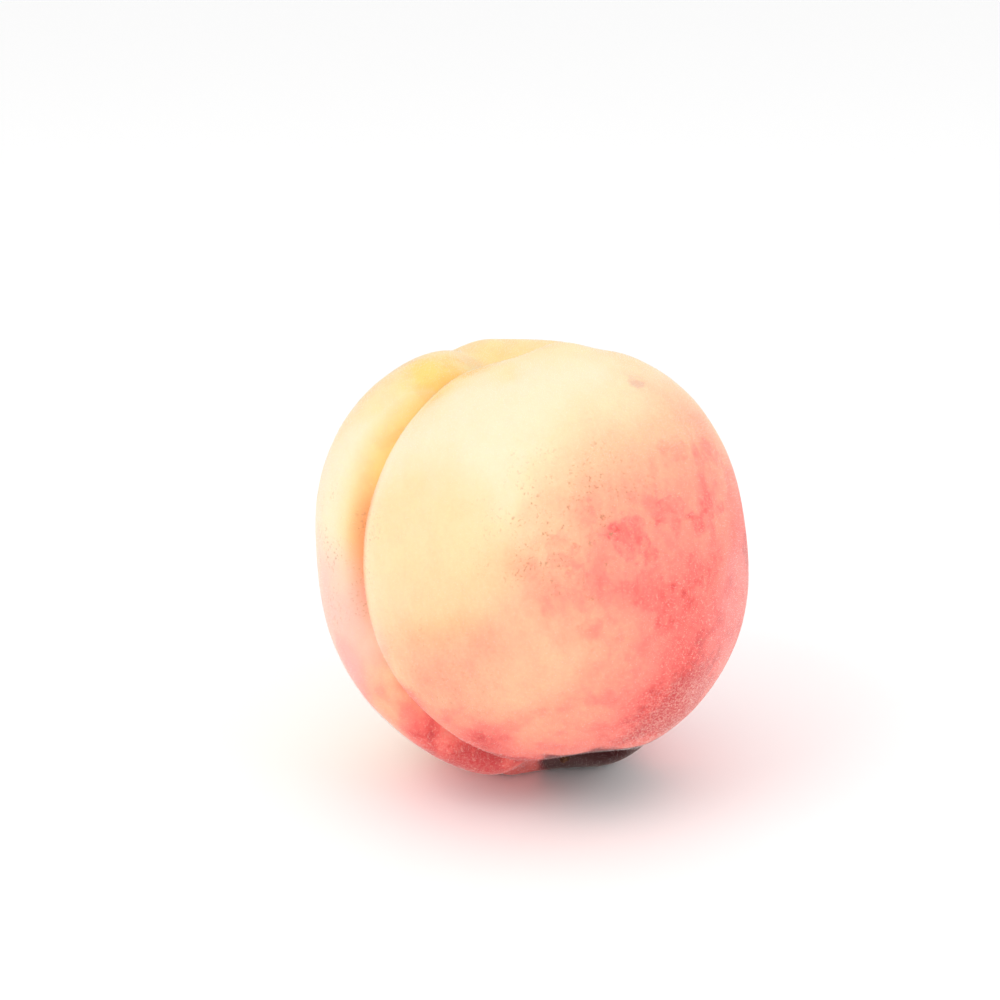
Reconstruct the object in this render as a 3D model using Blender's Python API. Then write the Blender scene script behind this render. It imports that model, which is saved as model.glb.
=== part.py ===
# A whole peach, 75 mm across, with a deep seam and two unequal lobes.
# It grew as one piece, so it is one closed solid. It lies with its stem end leaning back
# and rests on a small flat spot. Metres, +Z up, origin under the middle of its outline.
#
# The fruit is shaped upright first, with its seam facing +X. The near lobe is the one on the
# +Y side of the seam and the far lobe the one on the -Y side. Shares of height run from 1 at
# the stem end to -1 at the blossom end.

import bmesh
import bpy
from math import acos, atan2, cos, exp, hypot, radians, sin, tanh
from mathutils import Matrix, Vector

# Body of the fruit, turned about its axis
HALF_WIDTH = 0.0390
STEM_END_HEIGHT = 0.0398            # before the stem cavity is pressed in
BLOSSOM_END_HEIGHT = 0.0382
SHOULDER_FULLNESS = 2.43            # 2 is an ellipse, more is squarer
BOTTOM_FULLNESS = 2.11

# Hollow round the stem, and the shallow basin with the dry tip at the other end
CAVITY_DEPTH = 0.0110
CAVITY_RADIUS = (0.0089, 0.0066)    # on the near lobe's side, on the far lobe's side
CAVITY_PLACE = (0.0030, 0.0030)     # off the axis: towards the seam, towards the near lobe
BASIN_DEPTH = 0.0053
BASIN_RADIUS = 0.0091
TIP_HEIGHT = 0.0011
TIP_RADIUS = 0.0016

# Seam, from the stem cavity to the blossom tip: values at the stem end, middle, blossom end
SEAM_DEPTH = (0.0065, 0.0062, 0.0040)
NEAR_WALL_WIDTH = (0.0140, 0.0083, 0.0065)
FAR_WALL_WIDTH = (0.0062, 0.0052, 0.0020)
FAR_WALL_SHARPNESS = 1.35           # 2 is a round trough, less is a crease
SEAM_FADE = (-0.25, 0.45)           # cosine of the turn from it: gone at the first, full at the second
SEAM_AXIS_FADE = 0.005              # and it fades within this radius of the axis
TIP_CROSSING = (0.91, 0.97)         # shares of height between which it starts to run across the tip
SEAM_WANDER = (7.1, 11.0)           # degrees off a straight meridian: to one side, then bowed
END_VALUES_FROM = 0.85              # share of height past which the end values hold

# The skin sinks a little beside the seam, much more so on the far lobe, which is the larger one
LIP_RISE = (-0.0006, -0.0030)       # near lobe, far lobe
LIP_DISTANCE = 0.0154
LIP_SPREAD = 0.0140
LARGER_LOBE = (0.0032, 0.0028, 0.0021)   # at the stem end, middle, blossom end
LOBE_BLEND = 0.005
LOBE_AXIS_FADE = 0.014
BACK_FLATTENING = 0.0015            # the side across from the seam
BACK_SPREAD = (0.2, 1.0)            # cosine of the turn from the back where it starts, where it is full
BACK_END_FADE = (0.2, 0.8)          # share of the half width where it starts, where it is full

# Swells and dips of the shoulder round the stem cavity: rise, place along and across the seam,
# radius
SHOULDER_SWELLS = (
    (0.0024, (0.0085, 0.0165), 0.0070),      # crest of the near lobe
    (-0.0010, (0.0110, -0.0045), 0.0065),    # mouth of the seam
    (0.0004, (0.0130, -0.0120), 0.0070),     # far lobe behind the mouth
    (0.0005, (0.0070, -0.0120), 0.0060),
    (-0.0004, (-0.0010, -0.0115), 0.0060),   # rim of the cavity across from the near lobe
    (-0.0010, (-0.0100, -0.0040), 0.0070),   # and at the back
)

# How it lies
SEAM_DIRECTION = 219.5              # degrees about the fruit's axis, from +X
LEAN_BACK = 23.0
LEAN_SIDE = 6.1
REST_SPOT_PRESS = 0.0018            # how much of the bottom is pressed flat

# Mesh
COLUMNS = 84
ROWS = 44
COLUMN_CROWDING = 0.75              # how much closer the columns stand at the seam
ROW_CROWDING = 0.25                 # how much closer the rows stand at both ends

SKIN_COLOUR = (0.90, 0.52, 0.30, 1.0)
SKIN_ROUGHNESS = 0.7


def smooth_step(value, start, end):
    """Rise smoothly from 0 at start to 1 at end."""
    share = min(max((value - start) / (end - start), 0.0), 1.0)
    return share * share * (3.0 - 2.0 * share)


def along_axis(values, height):
    """Mix values for the stem end, the middle and the blossom end at a share of height."""
    top = smooth_step(height, 0.0, END_VALUES_FROM)
    bottom = smooth_step(-height, 0.0, END_VALUES_FROM)
    return values[0] * top + values[1] * (1.0 - top - bottom) + values[2] * bottom


def turned_profile(across, height, angle):
    """Distance from the axis and height of the turned body, stem cavity and basin included."""
    stem_end = height > 0.0
    end_height = STEM_END_HEIGHT if stem_end else BLOSSOM_END_HEIGHT
    fullness = SHOULDER_FULLNESS if stem_end else BOTTOM_FULLNESS
    power_sum = (across / HALF_WIDTH) ** fullness + (abs(height) / end_height) ** fullness
    reach = power_sum ** (-1.0 / fullness)
    radius = reach * across
    level = reach * height
    if stem_end:
        from_stem = hypot(
            radius * cos(angle) - CAVITY_PLACE[0], radius * sin(angle) - CAVITY_PLACE[1]
        )
        near_side = (1.0 + tanh(radius * sin(angle) / LOBE_BLEND)) / 2.0
        cavity_radius = CAVITY_RADIUS[0] * near_side + CAVITY_RADIUS[1] * (1.0 - near_side)
        level -= CAVITY_DEPTH * exp(-(from_stem / cavity_radius) ** 2)
        for rise, (along, aside), spread in SHOULDER_SWELLS:
            from_swell = hypot(radius * cos(angle) - along, radius * sin(angle) - aside)
            level += rise * exp(-(from_swell / spread) ** 2)
    else:
        level += BASIN_DEPTH * exp(-(radius / BASIN_RADIUS) ** 2)
        level -= TIP_HEIGHT * exp(-(radius / TIP_RADIUS) ** 2)
    return radius, level


def seam_crease(from_seam, height):
    """Share of the seam's depth at a distance from its line: an arc on the near lobe's wall."""
    if from_seam < 0.0:
        far_share = -from_seam / along_axis(FAR_WALL_WIDTH, height)
        return exp(-far_share ** FAR_WALL_SHARPNESS)
    near_share = max(1.0 - from_seam / along_axis(NEAR_WALL_WIDTH, height), 0.0)
    return 1.0 - (1.0 - near_share * near_share) ** 0.5


def lobe_offset(radius, angle, height):
    """How far the skin stands out from the turned body: seam, lips and unequal lobes."""
    seam_side = max(smooth_step(cos(angle), *SEAM_FADE), smooth_step(-height, *TIP_CROSSING))
    seam_side *= smooth_step(radius, 0.0, SEAM_AXIS_FADE)
    from_seam = radius * sin(angle)
    side = tanh(from_seam / LOBE_BLEND)

    lip = LIP_RISE[0] * (1.0 + side) / 2.0 + LIP_RISE[1] * (1.0 - side) / 2.0
    lip *= exp(-((abs(from_seam) - LIP_DISTANCE) / LIP_SPREAD) ** 2)
    offset = (lip - along_axis(SEAM_DEPTH, height) * seam_crease(from_seam, height)) * seam_side

    offset -= along_axis(LARGER_LOBE, height) * side * smooth_step(radius, 0.0, LOBE_AXIS_FADE)
    across = (1.0 - height * height) ** 0.5
    at_back = smooth_step(-cos(angle), *BACK_SPREAD) * smooth_step(across, *BACK_END_FADE)
    return offset - BACK_FLATTENING * at_back


def skin_point(direction):
    """Place on the peach's skin for a direction on the unit sphere."""
    polar = acos(min(max(direction.z, -1.0), 1.0))
    polar -= ROW_CROWDING * sin(2.0 * polar)
    turn = atan2(direction.y, direction.x)
    turn -= COLUMN_CROWDING * sin(turn)

    height = cos(polar)
    across = max(sin(polar), 0.0)
    radius, level = turned_profile(across, height, turn)
    offset = lobe_offset(radius, turn, height)

    wander = SEAM_WANDER[0] * height + SEAM_WANDER[1] * cos(2.0 * polar)
    turn += radians(wander) * cos(turn / 2.0) ** 2
    reach = radius + across * offset
    return Vector((reach * cos(turn), reach * sin(turn), level + height * offset))


def make_peach():
    """Model the fruit upright, lay it over, press its rest spot flat and stand it on z = 0."""
    form = bmesh.new()
    bmesh.ops.create_uvsphere(form, u_segments=COLUMNS, v_segments=ROWS, radius=1.0)
    for vertex in form.verts:
        vertex.co = skin_point(vertex.co)

    lie = (
        Matrix.Rotation(radians(-LEAN_BACK), 4, "X")
        @ Matrix.Rotation(radians(-LEAN_SIDE), 4, "Y")
        @ Matrix.Rotation(radians(SEAM_DIRECTION), 4, "Z")
    )
    bmesh.ops.transform(form, matrix=lie, verts=form.verts)

    floor = min(vertex.co.z for vertex in form.verts) + REST_SPOT_PRESS
    for vertex in form.verts:
        vertex.co.z = max(vertex.co.z, floor)
    middle_x = (min(v.co.x for v in form.verts) + max(v.co.x for v in form.verts)) / 2.0
    middle_y = (min(v.co.y for v in form.verts) + max(v.co.y for v in form.verts)) / 2.0
    bmesh.ops.translate(form, vec=(-middle_x, -middle_y, -floor), verts=form.verts)
    bmesh.ops.recalc_face_normals(form, faces=form.faces)

    mesh = bpy.data.meshes.new("peach")
    form.to_mesh(mesh)
    form.free()
    mesh.shade_smooth()
    peach = bpy.data.objects.new("peach", mesh)
    bpy.context.scene.collection.objects.link(peach)
    return peach


def skin_material():
    """Velvety skin, a warm mean of its cream and red."""
    material = bpy.data.materials.new("peach_skin")
    material.use_nodes = True
    shader = material.node_tree.nodes["Principled BSDF"]
    shader.inputs["Base Color"].default_value = SKIN_COLOUR
    shader.inputs["Roughness"].default_value = SKIN_ROUGHNESS
    shader.inputs["Metallic"].default_value = 0.0
    return material


for leftover in list(bpy.data.objects):
    bpy.data.objects.remove(leftover)
make_peach().data.materials.append(skin_material())
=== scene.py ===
# Looks of a ripe white peach: velvet skin with its blush, down, stem scar and dry blossom tip.
import random
from bisect import bisect
from itertools import accumulate
from math import cos, pi, radians, sin
import bpy
from mathutils import Matrix, Vector, noise


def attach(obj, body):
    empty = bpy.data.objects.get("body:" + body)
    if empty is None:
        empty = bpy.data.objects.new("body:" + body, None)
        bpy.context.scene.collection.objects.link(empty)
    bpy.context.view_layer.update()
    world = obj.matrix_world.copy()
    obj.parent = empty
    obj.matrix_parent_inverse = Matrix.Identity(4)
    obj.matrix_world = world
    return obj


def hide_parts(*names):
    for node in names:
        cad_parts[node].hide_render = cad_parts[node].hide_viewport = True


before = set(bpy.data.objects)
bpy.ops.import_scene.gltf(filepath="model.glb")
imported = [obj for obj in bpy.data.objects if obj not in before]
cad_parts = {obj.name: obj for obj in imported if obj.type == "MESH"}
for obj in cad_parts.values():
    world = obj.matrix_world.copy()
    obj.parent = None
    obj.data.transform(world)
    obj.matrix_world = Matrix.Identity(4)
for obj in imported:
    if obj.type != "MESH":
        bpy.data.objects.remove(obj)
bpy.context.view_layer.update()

# How the fruit lies: its own axis runs from the blossom end up to the stem end, its seam faces
# the fruit's +X and the near lobe is on the +Y side of the seam
fruit = {
    "middle": Vector((0.0024, -0.0031, 0.0389)),
    "leanBack": 23.0,           # degrees
    "leanSide": 6.1,
    "seamDirection": 219.5,     # degrees about the fruit's axis
    "seamSlant": 7.1,           # degrees that the seam wanders off a straight line, to one side
    "seamBow": 11.0,            # and bowed
    "stemFloor": Vector((-0.0022, 0.0030, 0.0618)),     # bottom of the stem cavity
    "blossomEnd": Vector((0.0060, -0.0164, 0.0078)),
}
fruitTurn = (
    Matrix.Rotation(radians(-fruit["leanBack"]), 3, "X")
    @ Matrix.Rotation(radians(-fruit["leanSide"]), 3, "Y")
    @ Matrix.Rotation(radians(fruit["seamDirection"]), 3, "Z")
)


def colour(hexCode):                # screen colour to linear light
    channels = [int(hexCode[place:place + 2], 16) / 255 for place in (0, 2, 4)]
    return tuple(c / 12.92 if c < 0.04045 else ((c + 0.055) / 1.055) ** 2.4 for c in channels) + (1.0,)


class Wire:                         # a socket that sums can be written with
    def __init__(self, finish, socket):
        self.finish = finish
        self.socket = socket

    def maths(self, operation, first, second):
        return self.finish.node("ShaderNodeMath", {"operation": operation}, {0: first, 1: second})

    def __add__(self, other):
        return self.maths("ADD", self, other)

    def __sub__(self, other):
        return self.maths("SUBTRACT", self, other)

    def __mul__(self, other):
        return self.maths("MULTIPLY", self, other)

    def __truediv__(self, other):
        return self.maths("DIVIDE", self, other)

    def __pow__(self, other):
        return self.maths("POWER", self, other)

    def __rsub__(self, other):
        return self.maths("SUBTRACT", other, self)

    __radd__ = __add__
    __rmul__ = __mul__


class Finish:                       # a material and the nodes that feed it
    def __init__(self, name, shaderValues):
        self.material = bpy.data.materials.new(name)
        self.material.use_nodes = True
        self.tree = self.material.node_tree
        self.shader = self.tree.nodes["Principled BSDF"]
        for socketName, value in shaderValues.items():
            self.feed(self.shader.inputs[socketName], value)

    def feed(self, socket, value):
        if isinstance(value, Wire):
            self.tree.links.new(value.socket, socket)
        else:
            socket.default_value = value

    def node(self, kind, settings=None, values=None, output=0):
        made = self.tree.nodes.new(kind)
        for name, value in (settings or {}).items():
            if name == "stops":
                self.setStops(made.color_ramp, value)
            else:
                setattr(made, name, value)
        for name, value in (values or {}).items():
            self.feed(made.inputs[name], value)
        return Wire(self, made.outputs[output])

    def setStops(self, ramp, stops):
        while len(ramp.elements) < len(stops):
            ramp.elements.new(0.5)
        for element, (place, shade) in zip(ramp.elements, stops):
            element.position = place
            element.color = shade

    def mix(self, amount, first, second, blend="MIX"):
        settings = {"data_type": "RGBA", "blend_type": blend}
        return self.node("ShaderNodeMix", settings, {0: amount, 6: first, 7: second}, 2)

    def rise(self, value, start, end):          # 0 at start, 1 at end, smooth between
        settings = {"interpolation_type": "SMOOTHSTEP"}
        return self.node("ShaderNodeMapRange", settings, {0: value, 1: start, 2: end, 3: 0.0, 4: 1.0})

    def function(self, operation, *given):
        return self.node("ShaderNodeMath", {"operation": operation}, dict(enumerate(given)))

    def vector(self, operation, *given, output=0):
        return self.node("ShaderNodeVectorMath", {"operation": operation}, dict(enumerate(given)), output)

    def split(self, way):
        parts = self.node("ShaderNodeSeparateXYZ", {}, {0: way}).socket.node
        return [Wire(self, part) for part in parts.outputs]

    def noise(self, place, scale, detail, roughness, output=0):
        values = {"Vector": place, "Scale": scale, "Detail": detail, "Roughness": roughness}
        return self.node("ShaderNodeTexNoise", {}, values, output)


def deselectAll():
    for thing in bpy.context.selected_objects:
        thing.select_set(False)


def makeActive(thing):
    deselectAll()
    thing.select_set(True)
    bpy.context.view_layer.objects.active = thing


def aim(thing, place, target):
    thing.location = place
    thing.rotation_euler = (target - place).to_track_quat("-Z", "Y").to_euler()


# Patches of colour are given as (turn, polar, inner, outer, strength): degrees round from the
# seam, degrees down from the stem, full within inner degrees of there, gone past outer degrees.
# Noises are counted to the metre, so more is finer. Names that end in From hold where something
# starts and where it is full
skin = {
    "mergeWithin": 0.000001,
    "roundings": 2,             # levels of subdivision
    "unevenness": 0.00025,      # how far the slow dents and swells move the skin
    "unevenSize": 0.011,
    "slowWander": (60.0, 0.20),         # how the edges of patches wander: noise size, reach
    "quickWander": (190.0, 0.055),
    "smearWander": (300.0, 0.014),
    "ripeness": (               # cream to dark red
        (0.00, "F1E5C6"),
        (0.15, "F0D8AF"),
        (0.33, "F2BE98"),
        (0.50, "F5A488"),
        (0.66, "F5897A"),
        (0.80, "EE726A"),
        (0.90, "E05A56"),
        (1.00, "CA4648"),
    ),
    "yellow": "F5D27C",
    "warmYellow": "F5BE6C",
    "orange": "F4AC76",
    "coolPink": "F5B9B4",
    "mauve": "D9A493",
    "freckle": "BC7C5A",
    # dark red skin of the blossom end together with painted shade on the underside, where the fruit meets
    # the floor
    "fleck": "FFE8D4",
    "darkRedAndShadeEdge": "963034",
    "darkRedAndShadeEnd": "3C060A",
    "darkRedAndShadeSpots": ((-172, 158, 4, 20, 0.97), (80, 169, 8, 16, 0.95), (150, 163, 8, 19, 0.9)),
    "darkRedAndShadeMiddle": ((167, 160, 3, 15, 0.8), (-160, 167, 3, 14, 0.6)),
    "blushes": (
        (111, 107, 0, 72, 0.58),        # the side turned to the sun
        (68, 130, 0, 32, -0.30),        # paler belly
        (30, 94, 0, 36, 0.12),
        (105, 41, 0, 25, 0.11),
        (88, 63, 0, 15, -0.06),
        (60, 78, 0, 17, 0.08),
        (65, 104, 0, 13, 0.07),
        (36, 124, 0, 24, 0.08),
        (36, 153, 0, 22, 0.09),
        (-22, 144, 0, 30, 0.23),        # beside the foot of the seam
        (-11, 123, 0, 17, 0.27),
        (118, 134, 0, 26, -0.03),
        (174, 106, 10, 62, 0.44),
        (-136, 100, 5, 62, 0.52),
        (-146, 66, 0, 34, 0.16),
        (-96, 84, 0, 36, 0.14),
    ),
    "leastRipe": 0.05,
    "ripeBelow": 0.52,          # how much riper the lower side gets
    "ripeBelowFrom": (0.10, -1.10),
    "mostRipe": 0.82,           # the slow blush stops here, only blotches and streaks go past it
    "easeToMostRipe": 0.12,
    "deepReds": (
        (-58, 163, 8, 32, 0.28),
        (-16, 156, 0, 18, 0.04),
        (104, 139, 0, 22, 0.21),
        (-8, 162, 2, 12, 0.17),
        (-150, 128, 0, 24, 0.10),
        (160, 124, 0, 26, 0.10),
    ),
    "blotches": (
        (84, 91, 1.0, 6.5, 0.12),
        (108, 86, 1.0, 6.0, 0.13),
        (97, 67, 0, 5.5, 0.06),
        (113, 67, 0, 6.5, 0.09),
        (96, 84, 0, 4.0, 0.09),
        (99, 99, 0, 6, 0.05),
        (110, 99, 0, 6, 0.05),
        (92, 106, 0, 7, 0.07),
        (66, 92, 0, 5.0, 0.08),
        (72, 86, 0, 4.0, 0.06),
        (140, 96, 1, 9, 0.10),
        (158, 70, 0, 8, 0.12),
        (176, 98, 0, 10, 0.10),
        (-166, 118, 0, 13, 0.14),
        (-140, 92, 0, 9, 0.12),
        (-118, 104, 0, 11, 0.10),
        (-98, 122, 0, 9, 0.10),
        (-128, 76, 0, 6, 0.12),
        (-152, 72, 0, 8, 0.10),
        (-112, 88, 0, 7, 0.10),
        (-172, 84, 0, 8, 0.10),
    ),
    "clouds": (110.0, 0.26),    # mottling: noise size, strength
    "streaks": (520.0, 0.22),
    "grain": (1300.0, 0.34),
    "mottleOnCream": 0.16,
    "mottleFade": 0.45,         # less of it again on the ripest skin
    "streakLength": (1.0, 1.0, 0.3),    # noise squeezed along the axis, so the streaks run along it
    "strokeLength": (1.0, 1.0, 0.18),
    "strokes": (420.0, 2.0, 0.5, 0.58, 0.70),       # noise size, detail, roughness, start, full
    "breaks": (620.0, 3.0, 0.6, 0.36, 0.62),
    "redSpots": (230.0, 2.0, 0.5, 0.50, 0.68),
    "warmSpots": (170.0, 3.0, 0.6, 0.42, 0.62),
    "clusters": (300.0, 2.0, 0.5, 0.40, 0.60),
    "freckles": (1900.0, 3.0, 0.6, 0.55, 0.66),
    "flecks": (2100.0, 2.0, 0.6, 0.58, 0.70),
    "curls": (1400.0, 2.0, 0.5, 0.065, 0.01),
    "blotchGaps": 0.5,          # a blotch's strength in its gaps, and what its thick parts add
    "blotchThick": 0.9,
    "redSpotsFrom": (0.34, 0.62),
    "flecksFrom": (0.55, 1.0),
    "redSpotStrength": 0.09,
    "warmSpotStrength": 0.6,
    "freckleStrength": 0.55,
    "fleckStrength": 0.35,
    "curlStrength": 0.36,
    "yellows": ((30, 86, 0, 30, 0.18), (-20, 30, 0, 30, 0.55), (8, 30, 0, 20, 0.5)),
    # cool pink skin on the far lobe, and a pale patch on the lower right rim that is painted rim light on
    # the down
    "coolPinkAndRimLight": ((-18, 104, 0, 28, 0.7), (134, 114, 0, 30, 0.3)),
    "smears": (                         # mauve smudges
        (86, 47.6, 0.5, 3.2, 0.26),
        (88.6, 48.6, 0.5, 3.0, 0.26),
        (-38, 30, 0, 7, 0.22),
    ),
    "stroked": (                        # where red strokes run along the fruit
        (108, 78, 4, 24, 0.08),
        (80, 110, 0, 34, 0.06),
        (170, 96, 10, 60, 0.10),
        (-130, 96, 10, 60, 0.10),
    ),
    "freckled": (
        (66, 84, 5, 28, 1.0),
        (95, 100, 5, 50, 0.4),
        (-4, 88, 2, 22, 0.9),
        (20, 128, 5, 28, 0.5),
        (170, 84, 5, 60, 0.7),
        (-110, 90, 5, 50, 0.6),
    ),
    "frosted": (                        # where pale curls of down show
        (114, 143, 2, 25, 1.0),
        (-30, 150, 4, 22, 0.4),
        (170, 126, 4, 30, 0.6),
    ),
    "seamSideFrom": (-0.1, 0.5),
    "yellowNearFrom": (0.09, 0.0),
    "yellowFarFrom": (-0.17, -0.02),
    "yellowHeightFrom": (-0.25, 0.35),
    "yellowStemFrom": (0.70, 1.0),
    "orangeNearFrom": (0.12, 0.05),
    "orangeFarFrom": (-0.11, -0.03),
    "orangeFootFrom": (-0.36, -0.08),
    "orangeHeadFrom": (0.50, 0.25),
    "seamYellowAndBounceLight": 0.85,         # strengths of the colours along the seam, partly painted warm shade and bounce light, and round the stem
    "stemYellow": 0.6,
    "seamOrangeAndBounceLight": 0.95,
    "darkRedAndShadeEdgeFrom": (0.0, 0.55),
    "darkRedAndShadeEndFrom": (0.25, 1.0),
    "roughness": 0.62,
    "roughnessChange": 0.2,
    "napSize": 2600.0,
    "napStrength": 0.25,
    "napDepth": 0.0002,
}


def makeSkin():
    deselectAll()
    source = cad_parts["peach"]
    piece = bpy.data.objects.new("peach_skin", source.data.copy())
    bpy.context.scene.collection.objects.link(piece)
    piece.data.materials.clear()
    makeActive(piece)
    bpy.ops.object.mode_set(mode="EDIT")
    bpy.ops.mesh.select_all(action="SELECT")
    bpy.ops.mesh.remove_doubles(threshold=skin["mergeWithin"])
    bpy.ops.mesh.tris_convert_to_quads()
    bpy.ops.mesh.normals_make_consistent(inside=False)
    bpy.ops.object.mode_set(mode="OBJECT")

    rounding = piece.modifiers.new("rounding", "SUBSURF")
    rounding.levels = skin["roundings"]
    rounding.render_levels = skin["roundings"]
    bpy.ops.object.modifier_apply(modifier=rounding.name)

    clouds = bpy.data.textures.new("slow dents", "CLOUDS")
    clouds.noise_scale = skin["unevenSize"]
    clouds.noise_depth = 1
    dents = piece.modifiers.new("dents", "DISPLACE")
    dents.texture = clouds
    dents.strength = skin["unevenness"]
    dents.mid_level = 0.5
    bpy.ops.object.modifier_apply(modifier=dents.name)
    bpy.ops.object.shade_smooth()
    return piece


def towards(turn, polar):           # a direction on the fruit: degrees from the seam and from the stem
    turn += fruit["seamSlant"] * cos(radians(polar)) + fruit["seamBow"] * cos(radians(2 * polar))
    flat = sin(radians(polar))
    return Vector((flat * cos(radians(turn)), flat * sin(radians(turn)), cos(radians(polar))))


def velvetSkin():
    finish = Finish("peach velvet", {
        "Metallic": 0.0,
        "Specular IOR Level": 0.12,
        "Subsurface Weight": 0.3,
        "Subsurface Scale": 0.004,
        "Subsurface Radius": (1.0, 0.45, 0.25),
        "Sheen Weight": 0.25,
        "Sheen Roughness": 0.45,
        "Sheen Tint": colour("FFE4DC"),
    })
    place = finish.node("ShaderNodeTexCoord", {}, {}, "Object")
    onFruit = finish.node("ShaderNodeMapping", {"vector_type": "TEXTURE"}, {
        "Vector": place,
        "Location": fruit["middle"],
        "Rotation": fruitTurn.to_euler("XYZ"),
    })
    way = finish.vector("NORMALIZE", onFruit)

    def warped(size, reach):            # the same direction, pushed about so that edges wander
        push = finish.noise(onFruit, size, 3.0, 0.55, output="Color")
        push = finish.vector("SUBTRACT", push, (0.5, 0.5, 0.5))
        return finish.vector("MULTIPLY_ADD", push, (reach, reach, reach), way)

    slowWay = warped(*skin["slowWander"])
    quickWay = warped(*skin["quickWander"])
    smearWay = warped(*skin["smearWander"])

    def patches(along, places):         # soft round patches added up
        total = 0.0
        for turnAt, polarAt, inner, outer, strength in places:
            near = finish.vector("DOT_PRODUCT", along, towards(turnAt, polarAt), output="Value")
            total = total + strength * finish.rise(near, cos(radians(outer)), cos(radians(inner)))
        return total

    def cutNoise(onPlace, name):        # a noise cut down to strokes, spots or specks
        size, detail, roughness, start, full = skin[name]
        return finish.rise(finish.noise(onPlace, size, detail, roughness), start, full)

    x, y, z = finish.split(way)
    across = (1.0 - z * z) ** 0.5
    slant = radians(fruit["seamSlant"]) * z + radians(fruit["seamBow"]) * (2.0 * z * z - 1.0)
    turn = finish.function("ARCTAN2", y, x) - slant
    fromSeam = finish.function("SINE", turn) * across       # near lobe's side above 0
    seamSide = finish.rise(finish.function("COSINE", turn), *skin["seamSideFrom"])
    slowHeight = finish.split(slowWay)[2]

    onStreaks = finish.node("ShaderNodeMapping", {}, {"Vector": onFruit, "Scale": skin["streakLength"]})
    onStrokes = finish.node("ShaderNodeMapping", {}, {"Vector": onFruit, "Scale": skin["strokeLength"]})
    cloudSize, cloudStrength = skin["clouds"]
    streakSize, streakStrength = skin["streaks"]
    grainSize, grainStrength = skin["grain"]
    clouds = finish.noise(onFruit, cloudSize, 4.0, 0.6) - 0.5
    streaks = finish.noise(onStreaks, streakSize, 3.0, 0.6) - 0.5
    grain = finish.noise(onFruit, grainSize, 3.0, 0.7) - 0.5

    # how ripe the skin is, from 0 to 1: first the slow blush, then what breaks it up
    ripe = (
        skin["leastRipe"]
        + patches(slowWay, skin["blushes"])
        + skin["ripeBelow"] * finish.rise(slowHeight, *skin["ripeBelowFrom"])
    )
    ripe = finish.function("SMOOTH_MIN", ripe, skin["mostRipe"], skin["easeToMostRipe"])
    ripe = ripe + patches(slowWay, skin["deepReds"])
    mottle = clouds * cloudStrength + streaks * streakStrength + grain * grainStrength
    redSpots = cutNoise(onFruit, "redSpots") * finish.rise(ripe, *skin["redSpotsFrom"])
    broken = skin["blotchGaps"] + skin["blotchThick"] * cutNoise(onFruit, "breaks")
    ripe = (
        ripe
        + mottle * (skin["mottleOnCream"] + ripe * (1.0 - skin["mottleFade"] * ripe))
        + skin["redSpotStrength"] * redSpots
        + patches(quickWay, skin["blotches"]) * broken
        + patches(slowWay, skin["stroked"]) * cutNoise(onStrokes, "strokes")
    )
    skinColour = finish.node("ShaderNodeValToRGB", {
        "stops": [(at, colour(shade)) for at, shade in skin["ripeness"]]}, {0: ripe})

    # yellow on the upper seam and round the stem, orange in the depth of the seam; in the seam both are
    # partly flesh colour and partly painted warm shade and bounce light between the lobes
    nearSide = finish.rise(fromSeam, *skin["yellowNearFrom"])
    farSide = finish.rise(fromSeam, *skin["yellowFarFrom"])
    nearSeam = nearSide * farSide * seamSide
    upper = finish.rise(slowHeight, *skin["yellowHeightFrom"])
    aroundStem = finish.rise(finish.split(quickWay)[2], *skin["yellowStemFrom"])
    seamYellowWithBounceLight = nearSeam * upper * skin["seamYellowAndBounceLight"]
    yellowness = finish.function("MAXIMUM", seamYellowWithBounceLight, aroundStem * skin["stemYellow"])
    yellowness = finish.function("MAXIMUM", yellowness, patches(slowWay, skin["yellows"]))
    warmth = cutNoise(onFruit, "warmSpots") * skin["warmSpotStrength"]
    stemYellow = finish.mix(warmth, colour(skin["yellow"]), colour(skin["warmYellow"]))
    skinColour = finish.mix(yellowness, skinColour, stemYellow)
    midway = finish.rise(z, *skin["orangeFootFrom"]) * finish.rise(z, *skin["orangeHeadFrom"])
    deepFar = finish.rise(fromSeam, *skin["orangeFarFrom"])
    deepest = deepFar * finish.rise(fromSeam, *skin["orangeNearFrom"]) * seamSide
    orangeWithBounceLight = midway * deepest * skin["seamOrangeAndBounceLight"]
    skinColour = finish.mix(orangeWithBounceLight, skinColour, colour(skin["orange"]))

    # cool pink skin, and painted rim light on the lower right rim
    skinColour = finish.mix(patches(slowWay, skin["coolPinkAndRimLight"]), skinColour, colour(skin["coolPink"]))
    skinColour = finish.mix(patches(smearWay, skin["smears"]), skinColour, colour(skin["mauve"]))

    freckles = cutNoise(onFruit, "freckles") * cutNoise(onFruit, "clusters")
    freckles = freckles * patches(slowWay, skin["freckled"])
    skinColour = finish.mix(freckles * skin["freckleStrength"], skinColour, colour(skin["freckle"]))

    # pale down: specks on the red, and thin curls where a noise crosses its middle
    flecks = cutNoise(onFruit, "flecks") * finish.rise(ripe, *skin["flecksFrom"])
    curlSize, curlDetail, curlRoughness, curlEdge, curlMiddle = skin["curls"]
    curls = finish.noise(onFruit, curlSize, curlDetail, curlRoughness) - 0.5
    curls = finish.rise(finish.function("ABSOLUTE", curls), curlEdge, curlMiddle)
    curls = curls * patches(quickWay, skin["frosted"])
    paleDown = finish.function("MAXIMUM", flecks * skin["fleckStrength"], curls * skin["curlStrength"])
    skinColour = finish.mix(paleDown, skinColour, colour(skin["fleck"]))

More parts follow.
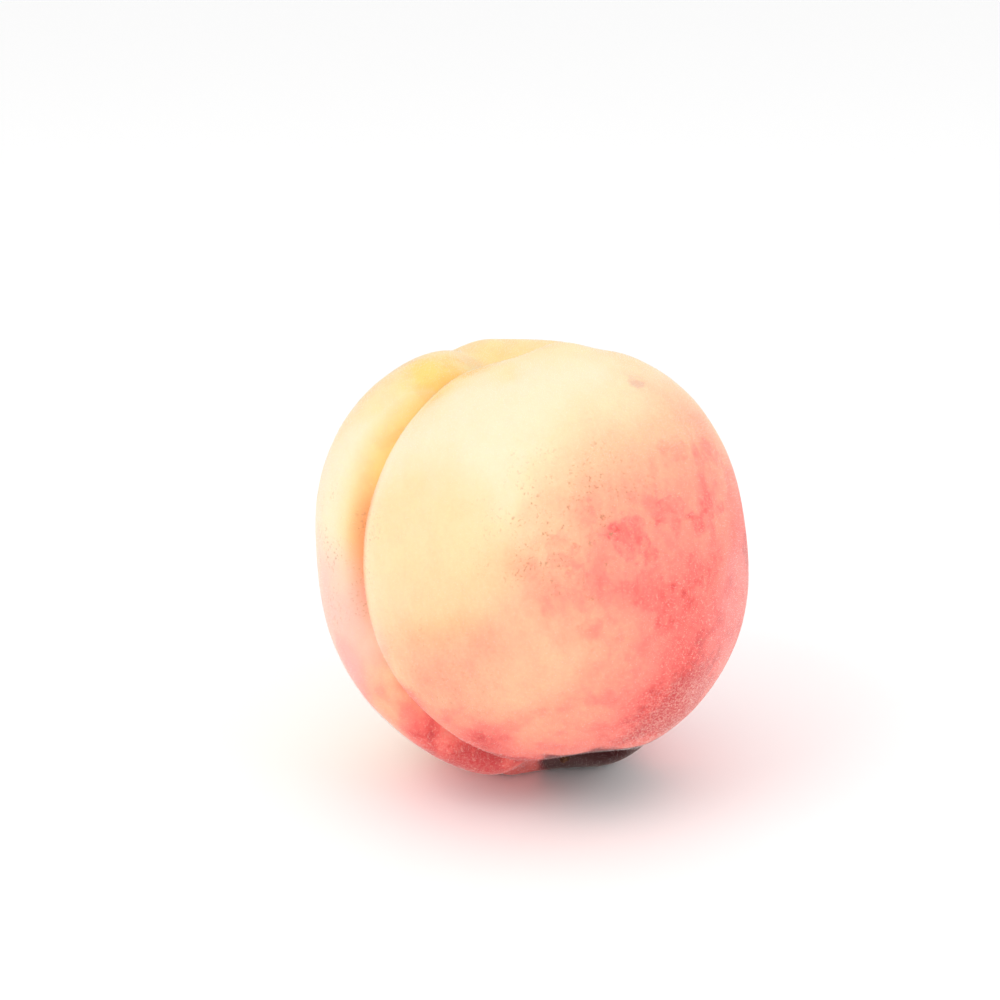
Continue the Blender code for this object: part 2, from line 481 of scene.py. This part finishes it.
    # dark red skin round the blossom end, with painted shade of the underside laid over it
    dark = patches(slowWay, skin["darkRedAndShadeSpots"]) + patches(quickWay, skin["darkRedAndShadeMiddle"])
    darkRedAndShadeEdge = finish.rise(dark, *skin["darkRedAndShadeEdgeFrom"])
    darkRedAndShadeEnd = finish.rise(dark, *skin["darkRedAndShadeEndFrom"])
    skinColour = finish.mix(darkRedAndShadeEdge, skinColour, colour(skin["darkRedAndShadeEdge"]))
    skinColour = finish.mix(darkRedAndShadeEnd, skinColour, colour(skin["darkRedAndShadeEnd"]))

    finish.feed(finish.shader.inputs["Base Color"], skinColour)
    roughness = skin["roughness"] + skin["roughnessChange"] * clouds
    finish.feed(finish.shader.inputs["Roughness"], roughness)
    nap = finish.noise(place, skin["napSize"], 2.0, 0.6)
    napBump = finish.node("ShaderNodeBump", {}, {
        "Height": nap, "Strength": skin["napStrength"], "Distance": skin["napDepth"]})
    finish.feed(finish.shader.inputs["Normal"], napBump)
    return finish.material


skinPiece = makeSkin()
skinPiece.data.materials.append(velvetSkin())
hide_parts("peach")
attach(skinPiece, "root")
print("skin:", len(skinPiece.data.polygons), "faces")

stemScar = {
    "sides": 26,
    "radius": 0.0023,
    "height": 0.0016,           # half of it sits in the flesh
    "rim": 0.0007,              # width of the rim
    "hollow": 0.0006,
    "stub": 0.5,                # how far the stub of the core rises again, in hollows
    "raggedness": 0.00022,
    "seed": 4,
}
blossomTip = {
    "sides": 12,
    "radius": 0.0008,
    "height": 0.0016,
    "footShare": 0.5,           # shares of the height
    "riseShare": 0.35,
    "shoulderShare": 0.4,       # shares of the radius
    "pointShare": 0.2,
    "raggedness": 0.00016,
    "seed": 9,
}
cork = {
    "shades": (                 # dark cracks to pale dry edges
        (0.30, "20120D"),
        (0.46, "46291B"),
        (0.58, "6E4A32"),
        (0.74, "96714F"),
    ),
    "grainSize": 1500.0,
    "roughness": 0.95,
    "roughnessDrop": 0.25,
    "bumpStrength": 0.6,
    "bumpDepth": 0.0003,
}


def selectFacing(piece, way):       # only the faces that face this way
    bpy.ops.object.mode_set(mode="EDIT")
    bpy.ops.mesh.select_mode(type="FACE")
    bpy.ops.mesh.select_all(action="DESELECT")
    bpy.ops.object.mode_set(mode="OBJECT")
    for face in piece.data.polygons:
        face.select = face.normal.dot(way) > 0.95       # within 18 degrees
    bpy.ops.object.mode_set(mode="EDIT")


def roughen(piece, amount, seed):
    bpy.ops.mesh.select_all(action="SELECT")
    bpy.ops.mesh.subdivide(number_cuts=1)
    bpy.ops.transform.vertex_random(offset=amount, uniform=0.7, normal=0.2, seed=seed)
    bpy.ops.object.mode_set(mode="OBJECT")
    rounding = piece.modifiers.new("rounding", "SUBSURF")
    rounding.levels = 1
    rounding.render_levels = 1
    bpy.ops.object.modifier_apply(modifier=rounding.name)
    bpy.ops.object.shade_smooth()
    bpy.ops.object.transform_apply(location=True, rotation=True, scale=True)


def makeStemScar(skinPiece):
    deselectAll()
    found, spot, out, number = skinPiece.closest_point_on_mesh(fruit["stemFloor"])
    bpy.ops.mesh.primitive_cylinder_add(vertices=stemScar["sides"], radius=stemScar["radius"],
                                        depth=stemScar["height"], location=spot,
                                        rotation=out.to_track_quat("Z", "Y").to_euler())
    piece = bpy.context.object
    piece.name = "stem_scar"
    selectFacing(piece, Vector((0.0, 0.0, 1.0)))
    bpy.ops.mesh.inset(thickness=stemScar["rim"])
    bpy.ops.mesh.extrude_region_move(TRANSFORM_OT_translate={"value": -out * stemScar["hollow"]})
    bpy.ops.mesh.inset(thickness=stemScar["rim"])
    bpy.ops.transform.translate(value=out * stemScar["hollow"] * stemScar["stub"])
    bpy.ops.mesh.poke()
    roughen(piece, stemScar["raggedness"], stemScar["seed"])
    return piece


def makeBlossomTip(skinPiece):
    deselectAll()
    found, spot, out, number = skinPiece.closest_point_on_mesh(fruit["blossomEnd"])
    bpy.ops.mesh.primitive_cylinder_add(vertices=blossomTip["sides"], radius=blossomTip["radius"],
                                        depth=blossomTip["height"] * blossomTip["footShare"],
                                        location=spot,
                                        rotation=out.to_track_quat("Z", "Y").to_euler())
    piece = bpy.context.object
    piece.name = "blossom_tip"
    selectFacing(piece, Vector((0.0, 0.0, 1.0)))
    bpy.ops.mesh.inset(thickness=blossomTip["radius"] * blossomTip["shoulderShare"])
    rise = out * blossomTip["height"] * blossomTip["riseShare"]
    bpy.ops.mesh.extrude_region_move(TRANSFORM_OT_translate={"value": rise})
    bpy.ops.mesh.inset(thickness=blossomTip["radius"] * blossomTip["pointShare"])
    bpy.ops.mesh.poke()
    roughen(piece, blossomTip["raggedness"], blossomTip["seed"])
    return piece


def corkFinish():
    finish = Finish("dry cork", {"Metallic": 0.0, "Specular IOR Level": 0.2})
    place = finish.node("ShaderNodeTexCoord", {}, {}, "Object")
    grain = finish.noise(place, cork["grainSize"], 5.0, 0.65)
    shade = finish.node("ShaderNodeValToRGB", {
        "stops": [(at, colour(tone)) for at, tone in cork["shades"]]}, {0: grain})
    finish.feed(finish.shader.inputs["Base Color"], shade)
    finish.feed(finish.shader.inputs["Roughness"], cork["roughness"] - cork["roughnessDrop"] * grain)
    bump = finish.node("ShaderNodeBump", {}, {
        "Height": grain, "Strength": cork["bumpStrength"], "Distance": cork["bumpDepth"]})
    finish.feed(finish.shader.inputs["Normal"], bump)
    return finish.material


corkMaterial = corkFinish()
for piece in (makeStemScar(skinPiece), makeBlossomTip(skinPiece)):
    piece.data.materials.append(corkMaterial)
    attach(piece, "root")
print("stem scar and blossom tip")

facesPerHair = 4
down = {
    "parts": ("down_stem_end", "down_middle", "down_blossom_end"),
    "hairsEach": 45000,
    "length": (0.00008, 0.00024),
    "width": 0.000016,          # radius at the root
    "rootDepth": 0.00003,       # how far the root sits in the skin
    "lean": 0.55,
    "clumpSize": 0.0016,        # hairs this close lean alike
    "clumpLean": 0.55,
    "clearOfFloor": 0.0004,
    "clearOfTip": 0.024,        # sparser and sparser within this of the blossom tip
    "seed": 11,
    "colour": "FFFBF8",
    "roughness": 0.9,
}


def growDown(name, faces, skinMesh, luck):
    corners, hairs = [], []
    reach = list(accumulate(face.area for face in faces))
    while len(hairs) < down["hairsEach"] * facesPerHair:
        face = faces[bisect(reach, luck.random() * reach[-1])]
        across, along = luck.random(), luck.random()
        a, b, c, d = [skinMesh.vertices[number] for number in face.vertices]
        root = a.co.lerp(b.co, across).lerp(d.co.lerp(c.co, across), along)
        out = a.normal.lerp(b.normal, across).lerp(d.normal.lerp(c.normal, across), along)
        sway = Vector([luck.gauss(0.0, down["lean"] / 2.0) for axis in range(3)])
        sway += noise.noise_vector(root / down["clumpSize"]) * down["clumpLean"]
        way = (out + sway - out * out.dot(sway)).normalized()
        length = luck.uniform(*down["length"])
        if (root + way * length).z < down["clearOfFloor"]:
            continue
        if (root - fruit["blossomEnd"]).length < down["clearOfTip"] * luck.random() ** 0.5:
            continue
        side = way.orthogonal().normalized() * down["width"]
        side = Matrix.Rotation(luck.random() * 2.0 * pi, 3, way) @ side
        third = Matrix.Rotation(2.0 * pi / 3.0, 3, way)
        foot = root - out * down["rootDepth"]
        first = len(corners)
        corners += [foot + side, foot + third @ side, foot + third @ third @ side, root + way * length]
        hairs += [(first, first + 1, first + 3), (first + 1, first + 2, first + 3),
                  (first + 2, first, first + 3), (first, first + 2, first + 1)]
    mesh = bpy.data.meshes.new(name)
    mesh.from_pydata(corners, [], hairs)
    mesh.shade_smooth()
    piece = bpy.data.objects.new(name, mesh)
    bpy.context.scene.collection.objects.link(piece)
    return piece


def downFinish():
    finish = Finish("pale down", {
        "Base Color": colour(down["colour"]),
        "Roughness": down["roughness"],
        "Specular IOR Level": 0.2,
        "Metallic": 0.0,
    })
    return finish.material


luck = random.Random(down["seed"])
allFaces = sorted(skinPiece.data.polygons, key=lambda face: -face.center.z)
share = len(allFaces) // len(down["parts"]) + 1
downMaterial = downFinish()
for number, name in enumerate(down["parts"]):
    part = growDown(name, allFaces[number * share:(number + 1) * share], skinPiece.data, luck)
    part.data.materials.append(downMaterial)
    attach(part, "root")
print("down:", len(down["parts"]) * down["hairsEach"], "hairs")

studio = {
    "floorSize": 8.0,
    "floorDrop": 0.00005,       # a hair below the fruit, so that the two don't share a plane
    "floorColour": "FFFFFF",
    "floorRoughness": 0.8,
    "roomBrightness": 0.95,
    "softboxes": (              # name, place, size, power, tint
        ("left softbox", (-0.5, -0.4, 0.6), 0.5, 1.6, (1.0, 0.99, 0.97)),
        ("right softbox", (0.6, -0.35, 0.35), 0.5, 1.3, (1.0, 1.0, 1.0)),
    ),
    "target": Vector((0.0005, 0.0, 0.0385)),
    "cameraHeight": 19.0,       # degrees above the level
    "cameraDistance": 0.41,
    "lens": 85.0,
    "shift": (-0.033, 0.057),
    "clipStart": 0.01,
}


def makeFloor():
    deselectAll()
    bpy.ops.mesh.primitive_plane_add(size=studio["floorSize"], location=(0.0, 0.0, -studio["floorDrop"]))
    floor = bpy.context.object
    floor.name = "floor"
    finish = Finish("pale floor", {
        "Roughness": studio["floorRoughness"],
        "Base Color": colour(studio["floorColour"]),
    })
    floor.data.materials.append(finish.material)


def makeLight(name, place, size, power, tint):
    lamp = bpy.data.lights.new(name, "AREA")
    lamp.size = size
    lamp.energy = power
    lamp.color = tint
    light = bpy.data.objects.new(name, lamp)
    bpy.context.scene.collection.objects.link(light)
    aim(light, Vector(place), studio["target"])


def makeRoom():
    world = bpy.data.worlds.new("white room")
    bpy.context.scene.world = world
    world.use_nodes = True
    background = world.node_tree.nodes["Background"]
    background.inputs["Color"].default_value = colour("FFFFFF")
    background.inputs["Strength"].default_value = studio["roomBrightness"]


def makeCamera():
    lens = bpy.data.cameras.new("camera")
    camera = bpy.data.objects.new("camera", lens)
    bpy.context.scene.collection.objects.link(camera)
    height = radians(studio["cameraHeight"])
    away = Vector((0.0, -cos(height), sin(height))) * studio["cameraDistance"]
    aim(camera, studio["target"] + away, studio["target"])
    lens.lens = studio["lens"]
    lens.shift_x, lens.shift_y = studio["shift"]
    lens.clip_start = studio["clipStart"]
    bpy.context.scene.camera = camera


makeFloor()
makeRoom()
for softbox in studio["softboxes"]:
    makeLight(*softbox)
makeCamera()
bpy.context.scene.view_settings.view_transform = "Standard"
print("floor, light and camera")
